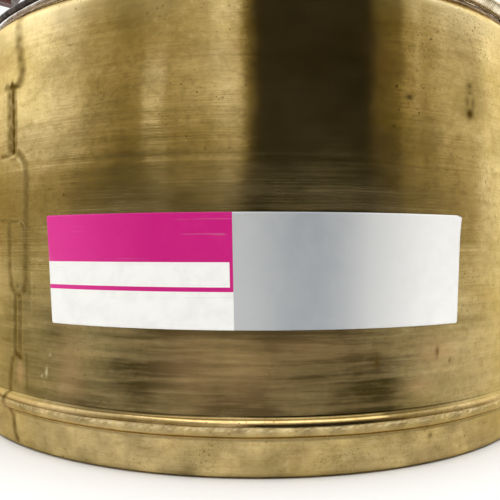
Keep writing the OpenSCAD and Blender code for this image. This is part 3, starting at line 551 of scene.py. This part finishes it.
def build_bail():
    """The wire from ear to ear, scaled and a little uneven, with its two elbows and peened heads."""
    ph = np.linspace(-math.pi / 2, math.pi / 2, 720)
    c, rad, n = bail_curve(ph)
    w = 0.5 - 0.5 * np.cos(np.linspace(0, 2 * math.pi, 720))
    # the ends stay on their pivots
    base = np.array([0, 0, 109.45])
    c[:, 2] = np.where(w < 0.02, base[2] + (c[:, 2] - base[2]) * w / 0.02, c[:, 2])
    ends = []
    for s_ in (0, -1):
        out = c[s_] / np.linalg.norm(c[s_][:2]) * 0 + np.array([c[s_][0], c[s_][1], 0]) / np.linalg.norm(c[s_][:2])
        ends.append((c[s_], out))
    g = np.random.default_rng(5)
    m = 14
    rough = g.random((len(c), m))
    rr = 0.745 + 0.035 * rough + 0.012 * np.sin(np.arange(len(c)) / 9.0)[:, None]
    ob = sweep("bail_rod", c, rad, n, rr, m, MATS["black_steel"], "bail")
    for q, (p, out) in enumerate(ends):
        k = np.linspace(-0.7, 4.05, 30)
        pin = p + out * k[:, None]
        rp = np.full((30, 16), 0.78)
        rp[:3] *= np.array([0.55, 0.85, 0.97])[:, None]
        sweep("bail_pin_%d" % q, pin, np.tile([0, 0, 1.0], (30, 1)), None, rp, 16, MATS["black_steel"], "bail")
        k = np.linspace(91.97 - 88.5, 92.73 - 88.5, 12)
        head = p + out * k[:, None]
        prof = np.array([1.5, 1.72, 1.84, 1.88, 1.89, 1.88, 1.84, 1.76, 1.62, 1.42, 1.1, 0.6])
        rh = prof[:, None] * (1 + 0.02 * np.sin(np.arange(20) * 1.9 + q))[None, :]
        sweep("bail_head_%d" % q, head, np.tile([0, 0, 1.0], (12, 1)), None, rh, 20, MATS["black_steel"], "bail")
    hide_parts("bail_wire")
    return ob


def build_coil():
    """The wound grip: close turns of thin wire round the bail."""
    wr, rho, per = 0.31, 1.44, 16
    half = math.radians(31.8)
    turns = int(2 * half * 88.5 / 0.76)
    n = turns * per
    i = np.arange(n + 1)
    ph = -half + 2 * half * i / n
    be = 2 * math.pi * i / per
    c, rad, nz = bail_curve(ph)
    hand = 0.03 * np.sin(i / 37.0) + 0.02 * np.sin(i / 11.3)
    p = c + (rho + hand)[:, None] * (np.cos(be)[:, None] * rad + np.sin(be)[:, None] * nz)
    rr = np.full((n + 1, 8), wr)
    rr *= 1 + 0.04 * np.sin(i / 5.1)[:, None]
    ob = sweep("grip_coil", p, p - c, None, rr, 8, MATS["grip_wire"], "bail")
    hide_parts("bail_grip")
    return ob


def build_rim_joint():
    """The soldered joint where the top sheet's rolled edge sits in the shoulder: an uneven fillet."""
    k = 900
    th = 2 * math.pi * np.arange(k) / k
    g = np.random.default_rng(9)
    lump = sum(a * np.sin(b * th + g.uniform(0, 6.28)) for a, b in ((0.5, 37), (0.4, 61), (0.35, 113), (0.3, 7), (0.25, 171)))
    fill = 0.10 * lump / 1.2
    sec = [(86.96, 107.80), (87.55, 107.60), (87.95, 107.52), (87.72, 107.98), (87.42, 108.42), (87.22, 108.85), (87.02, 108.95), (86.94, 108.40)]
    push = [0, 0.1, 0.25, 1, 1, 0.6, 0.1, 0]
    v = []
    for (r, z), q in zip(sec, push):
        rr = r + 0.25 * q + fill * q
        # at the left the sheet's edge stands a little higher, close under the bail's wire
        high = 0.62 * np.clip((z - 108.4) / 0.5, 0, 1) * np.clip((-8 - np.degrees(np.where(th > math.pi, th - 2 * math.pi, th))) / 12, 0, 1)
        high *= np.clip((np.degrees(np.where(th > math.pi, th - 2 * math.pi, th)) + 57) / 5, 0, 1)
        v.append(np.stack([rr * np.sin(th), -rr * np.cos(th), np.full(k, z) + high + 0.4 * fill * q], 1))
    v = np.concatenate(v) * MM
    n = len(sec)
    i, j = np.meshgrid(np.arange(n), np.arange(k), indexing="ij")
    i2, j2 = (i + 1) % n, (j + 1) % k
    f = np.stack([i * k + j, i * k + j2, i2 * k + j2, i2 * k + j], 2).reshape(-1, 4)
    return new_mesh("rim_joint", v, f, MATS["solder"], "tank")


# half width of an ear's pad, and the heights of its lower and upper edges
EAR = (7.3, 82.7, 98.1)


def build_ear_solder():
    """A low, uneven bead of solder round each ear's plate, where it meets the wall."""
    for q, th0 in enumerate((-60.0, 120.0)):
        g = np.random.default_rng(70 + q)
        n, m = 160, 10
        t = np.linspace(0, 2 * math.pi, n, endpoint=False)
        # a rounded square path over the wall, in mm along it and up it
        hw, zb, zt = EAR
        c, s_ = np.cos(t), np.sin(t)
        sq = (np.abs(c) ** 8 + np.abs(s_) ** 8) ** (-1 / 8)
        u, z = hw * c * sq, (zb + zt) / 2 + (zt - zb) / 2 * s_ * sq
        lump = sum(a * np.sin(b * t + g.uniform(0, 6.28)) for a, b in ((0.5, 5), (0.4, 11), (0.3, 23)))
        w = 0.55 + 0.16 * lump
        ang = 2 * math.pi * np.arange(m) / m
        v = []
        for i in range(n):
            du, dz = c[i], s_[i]
            for k in ang:
                off, up = w[i] * math.cos(k), 0.30 * math.sin(k)
                r = 90.05 + up
                a = math.radians(th0) + (u[i] + du * off) / 90
                v.append((r * math.sin(a), -r * math.cos(a), z[i] + dz * off))
        i, j = np.meshgrid(np.arange(n), np.arange(m), indexing="ij")
        i2, j2 = (i + 1) % n, (j + 1) % m
        f = np.stack([i * m + j, i2 * m + j, i2 * m + j2, i * m + j2], 2).reshape(-1, 4)
        new_mesh("ear_solder_%d" % q, np.array(v) * MM, f, MATS["solder"], "tank")


MATS = {
    "grip_wire": metal("grip_wire", (0.86, 0.78, 0.60), (0.55, 0.46, 0.30), (0.26, 0.45), 300, 1, 0.1, 0.35),
    "solder": metal("aged_solder", (0.60, 0.46, 0.31), (0.34, 0.23, 0.12), (0.42, 0.60), 420, 1, 0.4, 0.6, (0.14, 0.085, 0.035)),
    "brass": metal("satin_brass", (0.70, 0.54, 0.25), (0.50, 0.37, 0.15), (0.20, 0.42), 70, 1, 0.12, 0.45, (0.16, 0.10, 0.04)),
    "dark_brass": metal("heated_brass", (0.44, 0.32, 0.15), (0.20, 0.125, 0.06), (0.32, 0.58), 80, 1, 0.25, 0.7, (0.05, 0.03, 0.018)),
    "tank_brass": metal("sheet_brass", (0.60, 0.46, 0.20), (0.38, 0.28, 0.11), (0.22, 0.42), 45, 1, 0.10, 0.5, (0.12, 0.08, 0.03)),
    "black_steel": metal("blackened_steel", (0.085, 0.066, 0.060), (0.024, 0.019, 0.018), (0.32, 0.55), 420, 1, 0.5, 0.75, (0.17, 0.075, 0.03)),
    "steel": metal("worn_steel", (0.50, 0.49, 0.47), (0.27, 0.25, 0.23), (0.25, 0.5), 130, 1, 0.2, 0.5, (0.16, 0.08, 0.04)),
    "burnt_steel": metal("scaled_steel", (0.26, 0.22, 0.185), (0.10, 0.08, 0.07), (0.45, 0.75), 330, 1, 0.7, 0.8, (0.22, 0.09, 0.035)),
}


def soft(name, a, b, rough, scale, bump, spec=0.5, coat=0.0):
    m = Mat(name)
    n = m.noise(scale, 5, 0.6)
    m.put("Base Color", m.mix(m.span(n, 0.35, 0.68), a, b))
    m.put("Roughness", m.span(m.noise(scale * 3, 3), 0.3, 0.7, rough[0], rough[1]))
    m.put("Specular IOR Level", spec)
    m.put("Coat Weight", coat)
    m.put("Normal", m.bump(m.noise(scale * 8, 3), bump, 0.0001))
    return m.m


MATS["knob_brown"] = soft("moulded_knob", (0.105, 0.016, 0.010), (0.048, 0.008, 0.006), (0.30, 0.52), 240, 0.25, 0.28, 0.08)
MATS["gasket_rubber"] = soft("rubber_seal", (0.018, 0.018, 0.018), (0.032, 0.03, 0.028), (0.6, 0.8), 220, 0.3)
MATS["fibre_gasket"] = soft("fibre_washer", (0.33, 0.12, 0.07), (0.22, 0.07, 0.045), (0.7, 0.85), 260, 0.4)
MATS["leather"] = soft("oiled_leather", (0.16, 0.075, 0.035), (0.09, 0.04, 0.02), (0.4, 0.6), 300, 0.5)

shell = build_shell()
label = build_label()
coil = build_coil()
bail = build_bail()
rim_joint = build_rim_joint()
build_ear_solder()

# old solder is dull: only part of it shines
for node in MATS["solder"].node_tree.nodes:
    if node.type == "BSDF_PRINCIPLED":
        node.inputs["Metallic"].default_value = 0.4
EASED = {"handwheel": 0.35, "pot_ring": 0.35, "preheater_lever": 0.25, "pump_knob": 0.12, "burner_base": 0.3, "packing_nut": 0.2,
         "preheater_body": 0.25, "preheater_cap_nut": 0.2, "handwheel_nut": 0.15, "bail_lugs": 0.2, "filler_cap": 0.15, "pump_cap": 0.12, "jet_block": 0.25}
replaced = {"tank_shell", "side_label", "bail_grip", "bail_wire"}
slots = {s["node"]: s["material_slot"] for s in frame["record"]["subparts"]}
for name, ob in frame["nodes"].items():
    if name in replaced:
        continue
    mat = MATS.get(slots.get(name), MATS["brass"])
    for i in range(len(ob.material_slots)):
        ob.material_slots[i].material = mat
    if name in EASED:
        b = ob.modifiers.new("eased_edges", "BEVEL")
        b.width = EASED[name] * MM
        b.segments = 2
        b.limit_method = "ANGLE"
        b.angle_limit = math.radians(38)
        b.harden_normals = False
        w = ob.modifiers.new("weighted", "WEIGHTED_NORMAL")
        w.keep_sharp = True

# ------------------------------------------------------------------ floor and light
me = bpy.data.meshes.new("floor")
me.from_pydata([(-4, -4, 0), (4, -4, 0), (4, 4, 0), (-4, 4, 0)], [], [(0, 1, 2, 3)])
floor = bpy.data.objects.new("floor", me)
scene.collection.objects.link(floor)
fm = Mat("pale_floor")
fm.put("Base Color", fm.mix(fm.noise(3, 2), (0.86, 0.86, 0.86), (0.90, 0.90, 0.90)))
fm.put("Roughness", 0.9)
me.materials.append(fm.m)
floor.location.z = -0.0002


def world_light():
    """A soft studio: bright walls to the left and right, and a dark gap behind the camera."""
    w = bpy.data.worlds.new("studio")
    scene.world = w
    w.use_nodes = True
    t = w.node_tree
    t.nodes.clear()
    out = t.nodes.new("ShaderNodeOutputWorld")
    co = t.nodes.new("ShaderNodeTexCoord").outputs["Generated"]
    sep = t.nodes.new("ShaderNodeSeparateXYZ")
    t.links.new(co, sep.inputs[0])

    def mth(op, a, b=0.0):
        n = t.nodes.new("ShaderNodeMath")
        n.operation = op
        for s, v in zip(n.inputs, (a, b)):
            if isinstance(v, bpy.types.NodeSocket):
                t.links.new(v, s)
            else:
                s.default_value = v
        return n.outputs[0]

    az = mth("ARCTAN2", sep.outputs[0], mth("MULTIPLY", sep.outputs[1], -1.0))
    pos = mth("ADD", mth("MULTIPLY", az, 1 / (2 * math.pi)), 0.5)
    el = sep.outputs[2]

    def step(v, lo, hi, a=0.0, b=1.0):
        n = t.nodes.new("ShaderNodeMapRange")
        n.interpolation_type = "SMOOTHSTEP"
        t.links.new(v, n.inputs[0])
        for i_, x in enumerate((lo, hi, a, b)):
            n.inputs[i_ + 1].default_value = x
        return n.outputs[0]

    def ring(stops):
        """Brightness round the room, by direction in degrees."""
        ramp = t.nodes.new("ShaderNodeValToRGB")
        t.links.new(pos, ramp.inputs[0])
        cr = ramp.color_ramp
        cr.interpolation = "EASE"
        while len(cr.elements) > 1:
            cr.elements.remove(cr.elements[-1])
        for i_, (a, v) in enumerate(stops):
            e = cr.elements[0] if i_ == 0 else cr.elements.new((a + 180) / 360)
            e.position = (a + 180) / 360
            e.color = (v / 2, v / 2, v / 2, 1)
        return mth("MULTIPLY", ramp.outputs[0], 2.0)

    # the soft walls of the studio, above the height of the lamps' lower edge and below it
    upper = ring([(-180, 0.9), (-120, 1.1), (-100, 1.38), (-86, 1.25), (-74, 0.90), (-60, 0.52), (-48, 0.37), (-30, 0.50), (-17, 0.60), (-9, 0.84), (-4.5, 0.74), (-1.2, 0.16), (3, 0.018),
                  (44, 0.018), (50.5, 0.15), (57.6, 0.19), (58.9, 0.42), (63.6, 0.44), (65, 0.70), (66.6, 0.48), (80, 0.70), (94, 0.86), (104, 1.25), (135, 1.1), (180, 0.9)])
    lower = ring([(-180, 0.6), (-120, 0.50), (-93, 0.46), (-79, 0.38), (-67, 0.16), (-48, 0.07), (-24, 0.07), (-9, 0.10), (0, 0.03), (20, 0.015), (48, 0.02), (57.6, 0.08),
                  (58.9, 0.13), (71, 0.20), (81, 0.34), (92, 0.50), (103, 1.0), (112, 1.2), (140, 0.8), (180, 0.6)])
    mixed = step(el, math.sin(math.radians(6.0)), math.sin(math.radians(12.0)))
    level = mth("ADD", mth("MULTIPLY", upper, mixed), mth("MULTIPLY", lower, mth("SUBTRACT", 1.0, mixed)))
    level = mth("MULTIPLY", level, step(el, math.sin(math.radians(18)), math.sin(math.radians(22)), 1.0, 1.25))
    # higher up, the room evens out to a soft ceiling
    up = step(el, 0.52, 0.85)
    level = mth("ADD", mth("MULTIPLY", level, mth("SUBTRACT", 1.0, up)), mth("MULTIPLY", up, 1.25))
    # a small slatted window, seen as a ribbed glint on the wall
    rib = mth("ADD", mth("MULTIPLY", mth("SINE", mth("MULTIPLY", el, 300.0)), 0.35), 0.65)

    def box(v, lo, hi, soft_):
        return mth("MULTIPLY", step(v, lo - soft_, lo + soft_), step(v, hi - soft_, hi + soft_, 1.0, 0.0))

    win = mth("MULTIPLY", box(az, math.radians(-39.5), math.radians(-31), 0.014), box(el, 0.205, 0.300, 0.022))
    level = mth("ADD", level, mth("MULTIPLY", mth("MULTIPLY", win, rib), 0.78))
    # dim parts of the room are warm and brown
    warm = step(level, 0.08, 1.15)
    tint = t.nodes.new("ShaderNodeCombineColor")
    t.links.new(level, tint.inputs[0])
    t.links.new(mth("MULTIPLY", level, mth("ADD", mth("MULTIPLY", warm, 0.19), 0.81)), tint.inputs[1])
    t.links.new(mth("MULTIPLY", level, mth("ADD", mth("MULTIPLY", warm, 0.68), 0.32)), tint.inputs[2])
    level = tint.outputs[0]
    lp = t.nodes.new("ShaderNodeLightPath")
    bg = t.nodes.new("ShaderNodeBackground")
    t.links.new(level, bg.inputs["Color"])
    plain = t.nodes.new("ShaderNodeBackground")
    plain.inputs["Color"].default_value = (0.97, 0.97, 0.97, 1)
    mixn = t.nodes.new("ShaderNodeMixShader")
    t.links.new(lp.outputs["Is Camera Ray"], mixn.inputs[0])
    t.links.new(bg.outputs[0], mixn.inputs[1])
    t.links.new(plain.outputs[0], mixn.inputs[2])
    t.links.new(mixn.outputs[0], out.inputs[0])


world_light()


def area(name, loc, target, size, power, colour=(1, 1, 1)):
    L = bpy.data.lights.new(name, "AREA")
    L.size = size
    L.energy = power
    L.color = colour
    o = bpy.data.objects.new(name, L)
    o.location = loc
    o.rotation_euler = (Vector(target) - Vector(loc)).to_track_quat("-Z", "Y").to_euler()
    scene.collection.objects.link(o)
    return o


area("top_soft", (0.1, -0.2, 1.5), (0, 0, 0), 1.6, 16)
